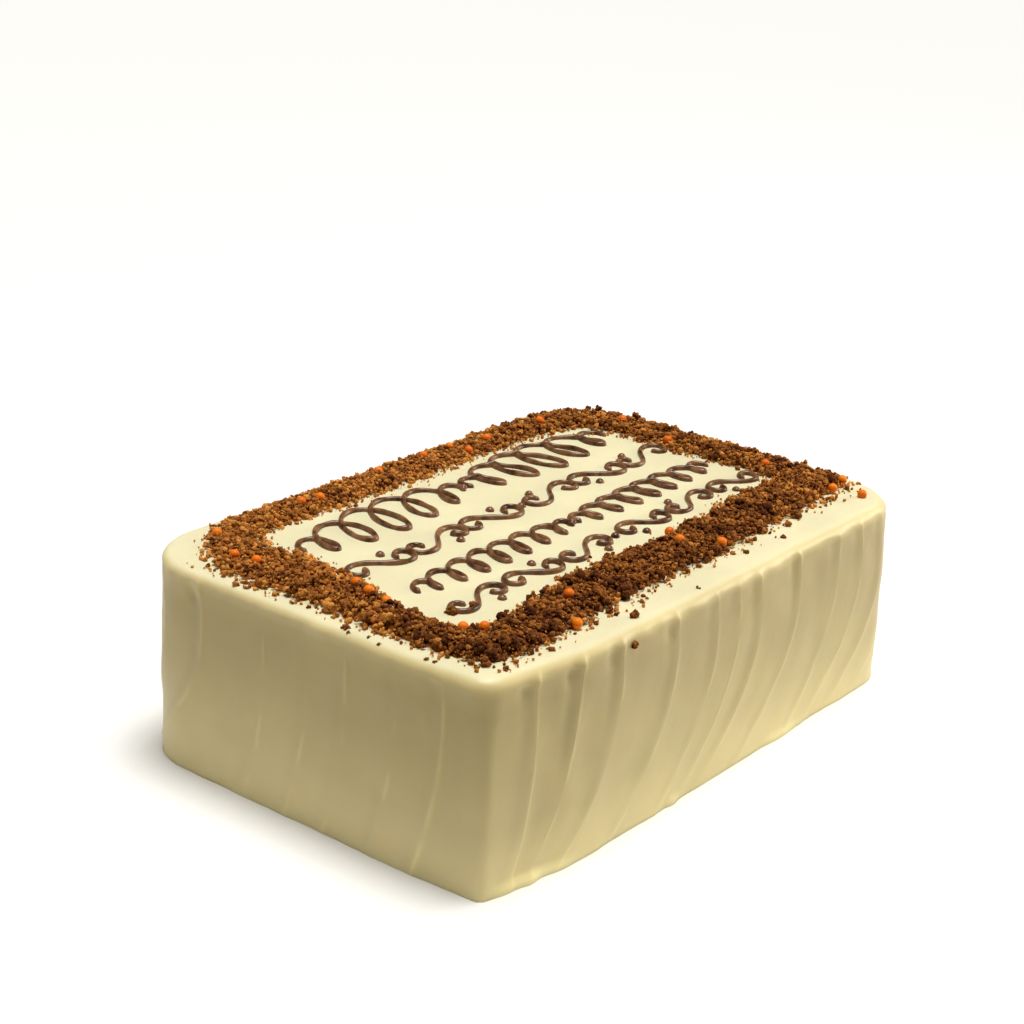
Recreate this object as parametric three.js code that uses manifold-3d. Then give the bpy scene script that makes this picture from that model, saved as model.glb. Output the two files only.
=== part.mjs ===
// A whole carrot sheet cake, frosted all over with cream cheese frosting: two solids.
// frosted_cake is the uncut block with its knife strokes, piped chocolate scrolls and stray bits.
// crumb_border is the heaped ring of cake crumbs and orange sugar pearls on its top.
// Millimetres, +Z up. The origin is the middle of the flat base, with +X along the long side.
import * as THREE from "three";
import { mergeVertices } from "three/addons/utils/BufferGeometryUtils.js";
import Module from "manifold-3d";

const wasm = await Module();
wasm.setup();

// Driving sizes of the frosted block
const CAKE_LENGTH = 335;
const CAKE_WIDTH = 221;
const CAKE_HEIGHT = 100;
const SIDE_BOW = 0.2; // how far the sides swell past the rim, at half height
const BASE_FLARE = 0.4; // how far the base spreads past the rim
const RIM_RADIUS = { front: 6, rest: 4 }; // the smoothed edge between side and top
const RIM_CHANGE = [-95, 10]; // from and to which y it narrows
// Radius of each upright corner at the base and at the rim: right, back, left, near
const BASE_CORNERS = [27, 32, 34, 4];
const RIM_CORNERS = [35, 45, 36, 12];
const CORNER_RISE = 5; // the power of the height by which a corner widens towards the rim
// The near corner was pressed in a little by the knife, more along the front than along the left side
const NEAR_TUCK = { front: 9, frontRun: 70, left: 2.2, leftRun: 50 };

// Knife strokes in the frosting of the sides
// Where each lip lies along the way round from the middle of the front, how far it bows, and its depth
const FRONT_STROKES = [
  [-140, 5, 0.9], [-114, 3, 1], [-89, 7.5, 0.9], [-48, 9, 0.8], [-14, 9, 0.6], [4, 9, 0.35],
  [22, 9, 0.6], [57, 9, 0.8], [95, 9, 0.55], [117, 9, 0.55], [139, 9, 0.45],
];
const LEFT_STROKES = [[-292, 3, 0.15], [-264, 3, 0.3], [-241, 3, 0.2], [-212, 3, 0.35], [-187, 3, 0.6]];
const STROKE_GAP = [25, 37]; // nearest and widest spacing on the right and at the back
const STROKE_BOW = 9;
const STROKE_DEPTH = [0.4, 0.95];
const STROKE_SWEEP = 42; // how far a stroke trails back at the base
const LEFT_SWEEP = 15;
const FACET_TURN = 0.22; // how far a corner turns from one upright facet to the next
const SCOOP_LEAN = 0.85; // below 1, a stroke is deepest before the middle of its width
const SCOOP_POWER = 1.25; // above 1, the lips between strokes are rounded

// Crumb border: outlines of its inner and outer edge, and its height
const INNER_EDGE = { x: 6, y: 11.5, halfX: 127, halfY: 68.5, radii: [14, 28, 16, 16], tilt: 0.03 };
const OUTER_EDGE = { x: 2, y: 8, halfX: 161, halfY: 97, radii: [14, 40, 54, 22], tilt: 0.045 };
// Where an edge swells: middle and reach as shares of the way round, and how much wider or narrower
const EDGE_SWELLS = [
  { at: 0.8, reach: 0.04, inner: 0.36, outer: 0 },
  { at: 0.93, reach: 0.03, inner: -0.07, outer: 0 },
  { at: 0.11, reach: 0.04, inner: -0.08, outer: 0.08 },
  { at: 0.02, reach: 0.05, inner: 0, outer: 0.09 },
];
const BORDER_HEIGHT = 5.2;
const FAR_DROP = { share: 0.4, back: [20, 80], right: [120, 150] }; // it is lower past these y and x
const BORDER_STATIONS = 72;
const CRUMB_COUNT = 63;
const CRUMB_RADIUS = [1.9, 4.1];
const PEARL_RADIUS = 2.5;
const PEARLS = {
  front: [[-95, -92], [-76, -73], [13, -71], [28, -85], [24, -58], [137, -82], [152, -79]],
  right: [[142, -38], [139, 22], [149, 60]],
  back: [[112, 90], [68, 92], [47, 87], [44, 98], [23, 98], [-13, 97], [-63, 90], [-74, 92]],
  left: [[-130, 92], [-144, 66], [-143, 53], [-133, 1], [-137, -10], [-139, -22], [-134, -61], [-127, -67]],
};
const PEARL_LIFT = 2.5; // a pearl's middle above the border's foot, where no crumbs lie under it
const REST_GAP = 0.3; // the border lies this far above the frosting

// Piped chocolate
const ROPE_HALF_WIDTH = 1.45;
const ROPE_HEIGHT = 2.2;
const ROPE_SINK = 0.7;
const ROPE_STEPS = 8; // how many steps of its path a length of rope takes
const ROPE_SECTION = [[-1.05, -ROPE_SINK], [-0.6, ROPE_HEIGHT], [0.6, ROPE_HEIGHT], [1.05, -ROPE_SINK]];
const ROPE_UNEVEN = 0.1; // share by which its height wavers, as a hand's pressure does
const SCROLL_MIDDLE = 6; // x of the line that the scrollwork is mirrored about
const ROW_SLOPE = 0.02;
const LOOP_ROWS = [
  { y: 56, half: 122, loops: 6, low: 7, high: 17.5 },
  { y: -13, half: 121, loops: 8, low: 6, high: 9.5 },
];
const WAVE_ROWS = [
  { y: 18.5, scale: 21, first: 24, pitch: 41, each: 3, up: 1 },
  { y: -39, scale: 19, first: 24, pitch: 41, each: 3, up: -1 },
];
const DOT_RADIUS = 2.3;

// Bits that lie on the bare frosting
const STRAY_PEARL = [143, -96];
const STRAY_CRUMBS = [ // place and radius
  [-67, -102, 101.3, 2.4], [-78, -110.8, 93, 2], [-155, -86, 100, 1.7], [-148, -96, 99.9, 1.9],
  [-20, -104, 99.8, 1.5], [33, -96, 100.4, 1.5], [63, -98, 100.4, 1.5], [-157, 70, 100.2, 1.7],
  [-163, -21, 99.6, 2.2], [-164.5, -24, 98.8, 1.8], [-120, -43, 101, 2.8], [-108, -46, 101, 2.6],
  [-163.5, -34, 99.4, 1.4], [-164.5, -41, 98.9, 1.5], [-163, -66, 99.4, 1.5], [-162.5, -70, 99.5, 1.2],
  [-159, 5, 100, 1.4],
];

const JOIN_TOLERANCE = 0.02; // slivers finer than this are dropped where pieces join

const mix = (a, b, t) => a + (b - a) * t;
const smooth = (t) => {
  const c = Math.min(1, Math.max(0, t));
  return c * c * (3 - 2 * c);
};

// A fixed scatter from 0 to 1: the same bit and draw give the same number in every build
function chance(bit, draw) {
  const wave = Math.sin(12.9898 * bit + 78.233 * draw) * 43758.5453;
  return wave - Math.floor(wave);
}

// Point and outward normal at a share of the way round a rounded rectangle.
// It starts in the middle of the front (-Y) side and runs towards +X.
function roundedOutline(share, { x = 0, y = 0, halfX, halfY, radii, tilt = 0 }) {
  const [right, back, left, near] = radii;
  const quarter = Math.PI / 2;
  const runs = [
    { length: halfX - right, from: [0, -halfY], angle: 0 },
    { length: right * quarter, centre: [halfX - right, -halfY + right], radius: right, angle: 0 },
    { length: 2 * halfY - right - back, from: [halfX, -halfY + right], angle: quarter },
    { length: back * quarter, centre: [halfX - back, halfY - back], radius: back, angle: quarter },
    { length: 2 * halfX - back - left, from: [halfX - back, halfY], angle: 2 * quarter },
    { length: left * quarter, centre: [-halfX + left, halfY - left], radius: left, angle: 2 * quarter },
    { length: 2 * halfY - left - near, from: [-halfX, halfY - left], angle: 3 * quarter },
    { length: near * quarter, centre: [-halfX + near, -halfY + near], radius: near, angle: 3 * quarter },
    { length: halfX - near, from: [-halfX + near, -halfY], angle: 4 * quarter },
  ];
  const around = runs.reduce((sum, run) => sum + run.length, 0);
  let along = (share - Math.floor(share)) * around;
  let run = runs[0];
  for (run of runs) {
    if (along <= run.length) break;
    along -= run.length;
  }
  const turn = run.angle + (run.centre ? along / run.radius : 0);
  const normal = [Math.sin(turn), -Math.cos(turn)];
  const at = run.centre
    ? [run.centre[0] + run.radius * normal[0], run.centre[1] + run.radius * normal[1]]
    : [run.from[0] + along * Math.cos(run.angle), run.from[1] + along * Math.sin(run.angle)];
  const lean = tilt * at[0] * smooth(0.5 - at[1] / (2 * halfY)); // the front side may run askew
  return { x: x + at[0], y: y + at[1] + lean, nx: normal[0], ny: normal[1], around };
}

// Joins rows of points into a surface. Rows are closed round; the ends are capped to their middle,
// or the last row joins the first where the surface is a ring.
function skin(rows, ring = false) {
  const around = rows[0].length;
  const points = rows.flat(2);
  const faces = [];
  const count = ring ? rows.length : rows.length - 1;
  for (let i = 0; i < count; i++) {
    const j = (i + 1) % rows.length;
    for (let k = 0; k < around; k++) {
      const next = (k + 1) % around;
      const [a, b, c, d] = [i * around + k, i * around + next, j * around + next, j * around + k];
      faces.push(a, b, c, a, c, d);
    }
  }
  if (!ring) {
    [rows[0], rows[rows.length - 1]].forEach((row, end) => {
      const middle = [0, 1, 2].map((axis) => row.reduce((sum, p) => sum + p[axis], 0) / around);
      const apex = points.length / 3;
      points.push(...middle);
      const start = end ? (rows.length - 1) * around : 0;
      for (let k = 0; k < around; k++) {
        const [a, b] = [start + k, start + ((k + 1) % around)];
        faces.push(...(end ? [a, b, apex] : [b, a, apex]));
      }
    });
  }
  const geometry = new THREE.BufferGeometry();
  geometry.setAttribute("position", new THREE.Float32BufferAttribute(points, 3));
  geometry.setIndex(faces);
  return geometry;
}

// A closed three.js geometry as a solid that can be joined and cut, and back again
function solidOf(geometry) {
  const bare = geometry.clone();
  bare.deleteAttribute("normal");
  bare.deleteAttribute("uv");
  const merged = mergeVertices(bare, 1e-4);
  return new wasm.Manifold(
    new wasm.Mesh({
      numProp: 3,
      vertProperties: new Float32Array(merged.attributes.position.array),
      triVerts: new Uint32Array(merged.index.array),
    }),
  );
}

// Joins solids and keeps the largest body, with any hollow that the joining sealed filled in
function joined(solids) {
  const bodies = wasm.Manifold.union(solids).simplify(JOIN_TOLERANCE).decompose();
  return bodies.reduce((best, body) => (body.volume() > best.volume() ? body : best));
}

function geometryOf(solid) {
  const made = solid.getMesh();
  const geometry = new THREE.BufferGeometry();
  const places = new Float32Array(made.numVert * 3);
  for (let i = 0; i < made.numVert; i++)
    places.set(made.vertProperties.subarray(i * made.numProp, i * made.numProp + 3), i * 3);
  geometry.setAttribute("position", new THREE.BufferAttribute(places, 3));
  geometry.setIndex(new THREE.BufferAttribute(new Uint32Array(made.triVerts), 1));
  geometry.computeVertexNormals();
  return geometry;
}

// Frosted block: knife strokes

// Where each stroke's lip lies round the cake, how far it bows and trails, and how deep it is
function strokeMarks(around) {
  const marks = FRONT_STROKES.map(([at, bow, depth]) => {
    return { at, bow, depth, sweep: STROKE_SWEEP * (1 - Math.exp(-(at + 150) / 35)) };
  });
  const last = around + LEFT_STROKES[0][0] - 0.6 * STROKE_GAP[0];
  let at = marks[marks.length - 1].at + STROKE_GAP[0];
  for (let i = 0; at < last; i++) {
    const depth = mix(...STROKE_DEPTH, chance(i, 2));
    marks.push({ at, bow: STROKE_BOW, depth, sweep: STROKE_SWEEP });
    at += mix(...STROKE_GAP, chance(i, 1));
  }
  for (const [left, bow, depth] of LEFT_STROKES)
    marks.push({ at: around + left, bow, depth, sweep: LEFT_SWEEP });
  return marks;
}

// The near corner drawn in, as a shift that fades out along the front and the left side
function tucked([x, y, z]) {
  const { front, frontRun, left, leftRun } = NEAR_TUCK;
  const alongFront = smooth((frontRun - CAKE_LENGTH / 2 - x) / frontRun);
  const alongLeft = smooth((leftRun - CAKE_WIDTH / 2 - y) / leftRun);
  return [
    x + left * alongLeft * smooth(0.5 - x / CAKE_LENGTH),
    y + front * alongFront * smooth(0.5 - y / CAKE_WIDTH),
    z,
  ];
}

// A stroke bows forward high up and trails back towards the base
const strokeBend = ({ bow, sweep }, v) => bow * Math.sin(Math.PI * v) - sweep * (1 - v) ** 2;

function frostedBlock() {
  const rimShape = { halfX: CAKE_LENGTH / 2, halfY: CAKE_WIDTH / 2, radii: RIM_CORNERS };
  const nominal = roundedOutline(0, rimShape);
  const marks = strokeMarks(nominal.around);
  const columns = marks.flatMap((mark, i) => {
    const next = marks[i + 1] ?? { ...marks[0], at: marks[0].at + nominal.around };
    const [from, to] = [mark, next].map(({ at }) => roundedOutline(at / nominal.around, rimShape));
    const turn = Math.acos(Math.min(1, from.nx * to.nx + from.ny * to.ny));
    const parts = Math.max(3, Math.round(turn / FACET_TURN));
    return Array.from({ length: parts }, (_, k) => k / parts).map((t) => ({
      at: mix(mark.at, next.at, t),
      bow: mix(mark.bow, next.bow, t),
      sweep: mix(mark.sweep, next.sweep, t),
      cut: next.depth * Math.sin(Math.PI * t ** SCOOP_LEAN) ** SCOOP_POWER,
    }));
  });
  const levels = [0, 14, 34, 56, 78].map((z) => ({ z, turn: 0 }));
  levels.push(...[0, 45, 90].map((degrees) => ({ turn: THREE.MathUtils.degToRad(degrees) })));
  const rows = levels.map(({ z, turn }) =>
    columns.map((column) => {
      const from = roundedOutline(column.at / nominal.around, rimShape).y;
      const narrowing = smooth((from - RIM_CHANGE[0]) / (RIM_CHANGE[1] - RIM_CHANGE[0]));
      const radius = mix(RIM_RADIUS.front, RIM_RADIUS.rest, narrowing);
      const up = z ?? CAKE_HEIGHT - radius * (1 - Math.sin(turn));
      const v = up / CAKE_HEIGHT;
      const inset = radius * (1 - Math.cos(turn));
      const spread = SIDE_BOW * 4 * v * (1 - v) + BASE_FLARE * (1 - v) - inset;
      const shape = {
        halfX: CAKE_LENGTH / 2 + spread,
        halfY: CAKE_WIDTH / 2 + spread,
        radii: BASE_CORNERS.map((corner, i) => mix(corner, RIM_CORNERS[i], v ** CORNER_RISE) + spread),
      };
      const p = roundedOutline((column.at + strokeBend(column, v)) / nominal.around, shape);
      const cut = column.cut * smooth(v / 0.12 + 0.35) * smooth((0.97 - v) / 0.17);
      return tucked([p.x - p.nx * cut, p.y - p.ny * cut, up]);
    }),
  );
  return solidOf(skin(rows));
}

// Piped chocolate scrolls

// Thins a path to the fewest points that keep its turns round
function thinned(path, mostTurn = 0.74, mostStep = 11) {
  const kept = [path[0]];
  let turned = 0;
  let gone = 0;
  for (let i = 1; i < path.length - 1; i++) {
    const [[ax, ay], [bx, by], [cx, cy]] = [path[i - 1], path[i], path[i + 1]];
    const [ux, uy, wx, wy] = [bx - ax, by - ay, cx - bx, cy - by];
    turned += Math.abs(Math.atan2(ux * wy - uy * wx, ux * wx + uy * wy));
    gone += Math.hypot(ux, uy);
    if (turned < mostTurn && gone < mostStep) continue;
    kept.push(path[i]);
    turned = 0;
    gone = 0;
  }
  kept.push(path[path.length - 1]);
  return kept;
}

// A rope of chocolate with a flat foot sunk in the frosting, along a path on the top.
// It is made in short lengths, so that a rope may cross itself. Each length starts inside the one before.
function ropes(path) {
  const points = thinned(path);
  const last = points.length - 1;
  const sectionAt = (i, size, back = 0) => {
    const [ax, ay] = points[Math.max(0, i - 1)];
    const [bx, by] = points[Math.min(last, i + 1)];
    const spread = (size * ROPE_HALF_WIDTH) / Math.hypot(bx - ax, by - ay);
    const height = size * (1 + ROPE_UNEVEN * Math.sin(2.4 * i));
    return ROPE_SECTION.map(([across, up]) => [
      mix(points[i][0], ax, back) + across * spread * (by - ay),
      mix(points[i][1], ay, back) - across * spread * (bx - ax),
      CAKE_HEIGHT + up * height,
    ]);
  };
  const lengths = [];
  for (let i = 0; i < last; i += ROPE_STEPS) {
    const rows = i ? [sectionAt(i, 0.85, 0.4), sectionAt(i, 1.04)] : [sectionAt(0, 0.6)];
    for (let j = i + 1; j <= Math.min(i + ROPE_STEPS, last); j++)
      rows.push(sectionAt(j, j === last ? 0.6 : 1));
    lengths.push(solidOf(skin(rows)));
  }
  return lengths;
}

// A run of loops that swells in the middle and curls up small at both ends
function loopRun({ half, loops, low, high }) {
  const steps = loops * 40;
  const path = [];
  let travel = 0;
  for (let i = 0; i <= steps; i++) {
    const u = i / steps;
    const ends = smooth((Math.min(u, 1 - u) * loops) / 0.9);
    travel += 0.12 + 0.88 * ends;
    const tall = (low + (high - low) * Math.sin(Math.PI * u) ** 1.2) * (0.45 + 0.55 * ends);
    path.push({ travel, tall, turn: 2 * Math.PI * loops * u });
  }
  const first = path[0].travel;
  return path.map((p) => {
    const x = -half + 4 + ((p.travel - first) / (travel - first)) * (half - 8);
    const y = -p.tall * Math.cos(p.turn);
    return [x - 0.62 * p.tall * Math.sin(p.turn) + 0.18 * y, y];
  });
}

// A lying wave with a spiral at each end: its bend grows evenly with the distance from its middle
function waveScroll(scale) {
  const reach = 1.95;
  const steps = 90;
  const step = (2 * reach) / steps;
  const path = [[0, 0]];
  for (let i = 0; i < steps; i++) {
    const t = -reach + (i + 0.5) * step;
    const heading = (Math.PI * t * t) / 2 - Math.PI / 4;
    const [x, y] = path[i];
    path.push([x + Math.cos(heading) * step, y + Math.sin(heading) * step]);
  }
  const [endX, endY] = path[steps];
  return path.map(([x, y]) => [scale * (x - endX / 2), scale * (y - endY / 2)]);
}

const mirrored = (path) => path.map(([x, y]) => [-x, y]);
const onTop = (path, rowY) =>
  path.map(([x, y]) => [x + SCROLL_MIDDLE, y + rowY + ROW_SLOPE * x]);

function pipedPaths() {
  const paths = [];
  for (const row of LOOP_ROWS) {
    const run = loopRun(row);
    paths.push(onTop(run, row.y), onTop(mirrored(run), row.y));
  }
  for (const row of WAVE_ROWS) {
    for (let i = 0; i < row.each; i++) {
      const flip = row.up * (i % 2 ? -1 : 1);
      const wave = waveScroll(row.scale).map(([x, y]) => [x - row.first - i * row.pitch, y * flip]);
      paths.push(onTop(wave, row.y), onTop(mirrored(wave), row.y));
    }
  }
  return paths;
}

// Dots in the hollows of the wave rows, and one in the middle of each row
function pipedDots() {
  const dots = LOOP_ROWS.map((row) => onTop([[0, 0]], row.y)[0]);
  for (const row of WAVE_ROWS) {
    dots.push(onTop([[0, 0]], row.y)[0]);
    for (let i = 0; i < row.each; i++) {
      const flip = row.up * (i % 2 ? -1 : 1);
      const dot = [[-row.first - i * row.pitch + 8, flip * 7.5]];
      dots.push(onTop(dot, row.y)[0], onTop(mirrored(dot), row.y)[0]);
    }
  }
  return dots;
}

// Crumbs and pearls

// An angular lump of cake, squashed and turned in its own way
function crumb(bit, radius, x, y, z) {
  const geometry = new THREE.IcosahedronGeometry(radius, 0);
  geometry.scale(...[3, 4, 5].map((draw) => mix(0.75, 1.2, chance(bit, draw))));
  geometry.rotateX(chance(bit, 6) * Math.PI);
  geometry.rotateZ(chance(bit, 7) * Math.PI);
  geometry.translate(x, y, z);
  return solidOf(geometry);
}

function pearl(x, y, z, radius = PEARL_RADIUS) {
  const geometry = new THREE.SphereGeometry(radius, 6, 4);
  geometry.rotateX(Math.PI / 2);
  geometry.translate(x, y, z);
  return solidOf(geometry);
}

// Bits that fell clear of the border, fused to the frosting that they stick to
function strayBits() {
  const crumbs = STRAY_CRUMBS.map(([x, y, z, radius], i) => crumb(i, radius, x, y, z));
  return [pearl(...STRAY_PEARL, CAKE_HEIGHT + 0.6 * PEARL_RADIUS), ...crumbs];
}

// Uneven edges and height, from a few waves round the border
const borderWobble = (share, phase) =>
  Math.sin(2 * Math.PI * (5 * share + phase)) * 0.5 +
  Math.sin(2 * Math.PI * (11 * share + 2.3 * phase)) * 0.3 +
  Math.sin(2 * Math.PI * (23 * share + 3.7 * phase)) * 0.2;

// How far across, from the nominal inner edge to the outer, the heap starts and ends at a share of the way
function borderSpan(share) {
  let from = 0.02 + 0.05 * borderWobble(share, 0.1);
  let to = 0.96 + 0.05 * borderWobble(share, 0.7);
  for (const { at, reach, inner, outer } of EDGE_SWELLS) {
    const near = Math.exp(-(((share - at) / reach) ** 2));
    from += inner * near;
    to += outer * near;
  }
  return [from, to];
}

// A place in the heap: a share of the way round it, and across it from its inner edge to its outer
function borderPlace(share, across) {
  const [inner, outer] = [roundedOutline(share, INNER_EDGE), roundedOutline(share, OUTER_EDGE)];
  const part = mix(...borderSpan(share), across);
  return [mix(inner.x, outer.x, part), mix(inner.y, outer.y, part)];
}

function borderHeight(share, across) {
  const [x, y] = borderPlace(share, across);
  const past = (value, [from, to]) => smooth((value - from) / (to - from));
  const drop = FAR_DROP.share * Math.max(past(y, FAR_DROP.back), past(x, FAR_DROP.right));
  const arch = Math.max(0, 1 - Math.abs(2 * across - 1) ** 2.4) ** 0.6;
  return BORDER_HEIGHT * (1 - drop) * (1 + 0.22 * borderWobble(share, 0.4)) * arch;
}

// The heap's height at a place, taken from the nearest of many places spread all over it
function heapUnder(x, y) {
  let nearest = Infinity;
  let height = 0;
  for (let i = 0; i < 300; i++) {
    for (let k = 0; k <= 16; k++) {
      const [placeX, placeY] = borderPlace(i / 300, k / 16);
      const away = Math.hypot(placeX - x, placeY - y);
      if (away > nearest) continue;
      nearest = away;
      height = borderHeight(i / 300, k / 16);
    }
  }
  return height;
}

function borderHeap() {
  const foot = CAKE_HEIGHT + REST_GAP;
  const rows = [];
  for (let i = 0; i < BORDER_STATIONS; i++) {
    const share = i / BORDER_STATIONS;
    rows.push(
      [0, 0.15, 0.5, 0.85, 1].map((t) => [...borderPlace(share, t), foot + borderHeight(share, t)]),
    );
  }
  return solidOf(skin(rows, true));
}

function borderBits() {
  const foot = CAKE_HEIGHT + REST_GAP;
  const bits = [];
  for (let i = 0; i < CRUMB_COUNT; i++) {
    const share = (i + 0.8 * chance(i, 9)) / CRUMB_COUNT;
    const across = mix(0.08, 0.92, (0.618 * i + 0.15 * chance(i, 10)) % 1);
    const radius = mix(...CRUMB_RADIUS, chance(i, 11) ** 1.6);
    bits.push(crumb(i, radius, ...borderPlace(share, across), foot + borderHeight(share, across)));
  }
  for (const [x, y] of Object.values(PEARLS).flat())
    bits.push(pearl(x, y, foot + Math.max(PEARL_LIFT, heapUnder(x, y))));
  return bits;
}

// The two pieces

function makeCake() {
  const dots = pipedDots().map(([x, y]) => pearl(x, y, CAKE_HEIGHT, DOT_RADIUS));
  return joined([frostedBlock(), ...pipedPaths().flatMap(ropes), ...dots, ...strayBits()]);
}

function makeBorder() {
  const room = new THREE.BoxGeometry(2 * CAKE_LENGTH, 2 * CAKE_WIDTH, 40);
  room.translate(0, 0, CAKE_HEIGHT + REST_GAP - 20);
  const trimmed = joined([borderHeap(), ...borderBits()]).subtract(solidOf(room));
  return joined([trimmed]);
}

function named(name, solid, colour, roughness) {
  const material = new THREE.MeshStandardMaterial({ color: colour, roughness, metalness: 0 });
  const mesh = new THREE.Mesh(geometryOf(solid), material);
  mesh.name = name;
  return mesh;
}

const cake = new THREE.Group();
cake.add(named("frosted_cake", makeCake(), 0xf6ebc0, 0.5));
cake.add(named("crumb_border", makeBorder(), 0x6e4020, 0.95));

export default cake;
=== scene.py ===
"""A whole frosted carrot sheet cake, with a crumb border and piped chocolate scrollwork on its top.

Lengths are millimetres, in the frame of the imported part: the origin is the middle of the flat base,
+X runs along the long side, +Y away from the front and +Z up. Meshes are filled in metres.
"""

import math

import bpy
import numpy as np
from mathutils import Matrix, Vector


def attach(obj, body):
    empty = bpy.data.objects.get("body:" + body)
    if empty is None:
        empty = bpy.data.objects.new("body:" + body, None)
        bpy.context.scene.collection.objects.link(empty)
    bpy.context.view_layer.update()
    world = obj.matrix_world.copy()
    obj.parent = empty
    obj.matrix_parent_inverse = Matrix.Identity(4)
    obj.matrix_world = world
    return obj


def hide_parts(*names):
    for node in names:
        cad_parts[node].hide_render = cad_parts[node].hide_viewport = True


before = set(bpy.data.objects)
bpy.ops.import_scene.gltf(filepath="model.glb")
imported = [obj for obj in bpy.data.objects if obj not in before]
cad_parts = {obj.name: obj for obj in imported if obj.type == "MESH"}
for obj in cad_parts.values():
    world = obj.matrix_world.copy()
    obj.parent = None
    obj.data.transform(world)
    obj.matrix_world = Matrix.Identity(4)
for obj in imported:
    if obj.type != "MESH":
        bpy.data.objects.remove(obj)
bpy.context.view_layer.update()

# Frosting. Cream cheese frosting laid over the whole uncut block and drawn smooth with a long knife.
# Each pull of the knife along a side ends in a soft upright lip, pinched a little where it starts
# under the rim, and the rim itself was rolled over with the flat of the blade.
MM = 0.001
CAKE_LENGTH, CAKE_WIDTH, CAKE_HEIGHT = 335.0, 221.0, 100.0
SIDE_BOW = 0.2
BASE_FLARE = 0.4
RIM_RADIUS = {"front": 6.0, "rest": 4.0}
RIM_CHANGE = (-95.0, 10.0)  # from and to which y it narrows
BASE_CORNERS = np.array([27.0, 32.0, 34.0, 4.0])  # right, back, left, near
RIM_CORNERS = np.array([35.0, 45.0, 36.0, 12.0])
CORNER_RISE = 5
NEAR_TUCK = {"front": 9.0, "front_run": 70.0, "left": 2.2, "left_run": 50.0}
FRONT_STROKES = [  # place along the way round from the middle of the front, bow, depth
    (-140, 5, 0.9),
    (-114, 3, 1.0),
    (-89, 7.5, 0.9),
    (-48, 9, 0.8),
    (-14, 9, 0.6),
    (4, 9, 0.35),
    (22, 9, 0.6),
    (57, 9, 0.8),
    (95, 9, 0.55),
    (117, 9, 0.55),
    (139, 9, 0.45),
]
LEFT_STROKES = [(-292, 3, 0.15), (-264, 3, 0.3), (-241, 3, 0.2), (-212, 3, 0.35), (-187, 3, 0.6)]
STROKE_GAP = (25.0, 37.0)
STROKE_BOW = 9.0
STROKE_DEPTH = (0.4, 0.95)
STROKE_SWEEP = 42.0
SWEEP_START, SWEEP_GROWTH = -150.0, 35.0
LEFT_SWEEP = 15.0
SCOOP_LEAN = 0.85
SCOOP_POWER = 1.25
BEADS = {"front": 0.21, "left": 0.45}  # how far a lip stands out
BEAD_WIDTH = 1.2
TONGUE = {"width": 1.7, "size": 0.95, "z": 94.5, "reach": 3.0}  # a lip's end on the rim
DIMPLE = {"before": 6.0, "width": 3.4, "z": 90.5, "reach": 4.5}  # pressed in beside a lip's end
DIMPLE_TAIL = {"size": 0.35, "z": 76.0, "reach": 15.0}
LIP_SHADE = {"before": 4.5, "width": 3.2, "shade": 0.28}  # painted shade beside a lip, in the colour alone
SKIN_WAVES = [(0.25, 60, 3), (0.13, 18, 4), (0.04, 7, 9)]  # size, wavelength, seed
LEVEL_WAVES = [(0.24, 11, 10, 95.5, 3.5), (0.16, 17, 5, 0.0, 3.4)]  # the same, then their z and reach
TRAIL_WAVES, TOP_WAVES = (60, 2), (26, 6)  # wavelength, seed
SCOOP_WAVES, BEAD_WAVES = (40, 7), (28, 224)
STROKE_FADE = {"foot": 0.35, "over": 0.12, "top": 0.97, "under": 0.17}  # by the share of the height
BASE_SMEARS = [(-148, 12, 2.3), (-130, 14, 1.3), (-40, 4, 0.8), (54, 14, 1.1)]  # x, half width, bulge
SMEAR_HEIGHT = 5.5
# how much paler the smears are painted: a painted highlight on their bulge
SMEAR_HIGHLIGHT = 0.6
STROKE_COLUMNS = 26
SIDE_ROWS = 62
RIM_ROWS = 9
TOP_ROWS = 25
# Painted light and shade: sides lighter low down for the floor's bounce, deeper high up, the top palest
FROSTING_LIGHT_AND_SHADE = [  # share of the height, colour: painted light and shade by height
    (0.0, (0.845, 0.71, 0.355)),
    (0.3, (0.632, 0.514, 0.240)),
    (0.6, (0.522, 0.414, 0.179)),
    (0.84, (0.475, 0.370, 0.152)),
    (0.92, (0.51, 0.398, 0.166)),
    (0.96, (0.60, 0.485, 0.217)),
    (0.985, (0.71, 0.595, 0.30)),
    (0.998, (0.765, 0.70, 0.445)),
]


def mix(a, b, t):
    """The value a share t of the way from a to b."""
    return a + (b - a) * t


def smooth(t):
    """Nought below 0 and one above 1, joined by the cubic 3t² - 2t³."""
    t = np.clip(t, 0, 1)
    return t * t * (3 - 2 * t)


def bell(distance, width):
    """A bell one high: e to the power of minus the square of the distance over the width."""
    return np.exp(-((distance / width) ** 2))


def chance(bit, draw):
    """A fixed scatter from 0 to 1: what is left over one whole number in a large, fast sine."""
    wave = np.sin(12.9898 * bit + 78.233 * draw) * 43758.5453
    return wave - np.floor(wave)


def ripple(places, wavelength, seed, waves=9):
    """Uneven waves through space: the mean of sines that run in scattered directions."""
    random = np.random.default_rng(seed)
    directions = random.normal(size=(waves, places.shape[-1]))
    directions /= np.linalg.norm(directions, axis=1, keepdims=True)
    pace = 2 * np.pi / (wavelength * random.uniform(0.7, 1.5, waves))
    phase = random.uniform(0, 2 * np.pi, waves)
    return np.sin(places @ (directions * pace[:, None]).T + phase).sum(-1) / math.sqrt(waves)


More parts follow.
